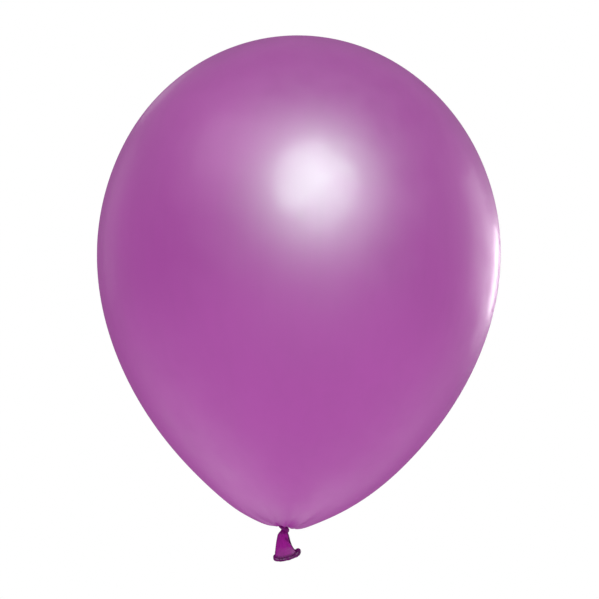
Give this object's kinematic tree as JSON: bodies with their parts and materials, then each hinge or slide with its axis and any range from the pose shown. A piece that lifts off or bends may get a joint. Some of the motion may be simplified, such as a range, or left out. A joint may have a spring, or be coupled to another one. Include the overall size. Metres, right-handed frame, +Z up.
{
  "type": "latex balloon",
  "caption": "Round latex party balloon, inflated to a pear shape and tied off with a knot in its neck, with a short flared tail and a rolled lip.",
  "frame": {"origin": "centre of the neck, level with the lowest ring of the inflated skin, where a ribbon or a balloon cup takes hold", "axes": "+Z up the balloon from the neck to the crown, +X across the flat of the tail towards the side its mouth hangs to, +Y through the flat of the tail"},
  "size_m": [0.28, 0.28, 0.3634],
  "materials": {
    "stretched_latex": "gloss",
    "gathered_latex": "satin",
    "relaxed_latex": "satin"
  },
  "bodies": {
    "balloon": {"envelope": "stretched_latex", "neck_gather": "gathered_latex"},
    "neck": {"neck_strand": "relaxed_latex"},
    "knot": {"knot_core": "relaxed_latex", "knot_wrap": "relaxed_latex"},
    "tail": {"tail_flare": "relaxed_latex", "rolled_lip": "relaxed_latex"}
  },
  "joints": [
    {"name": "neck_twist", "type": "hinge", "parent": "balloon", "child": "neck", "pos_m": [0, 0, 0], "axis": [0, 0, 1], "range_deg": [-120, 120], "stiffness_Nm_per_rad": 0.001},
    {"name": "knot_sway", "type": "hinge", "parent": "neck", "child": "knot", "pos_m": [0, 0, -0.0006], "axis": [0, 1, 0], "range_deg": [-28, 28], "stiffness_Nm_per_rad": 0.0015},
    {"name": "tail_flap", "type": "hinge", "parent": "knot", "child": "tail", "pos_m": [0, 0, -0.0052], "axis": [1, 0, 0], "range_deg": [-70, 70], "stiffness_Nm_per_rad": 0.0005}
  ]
}
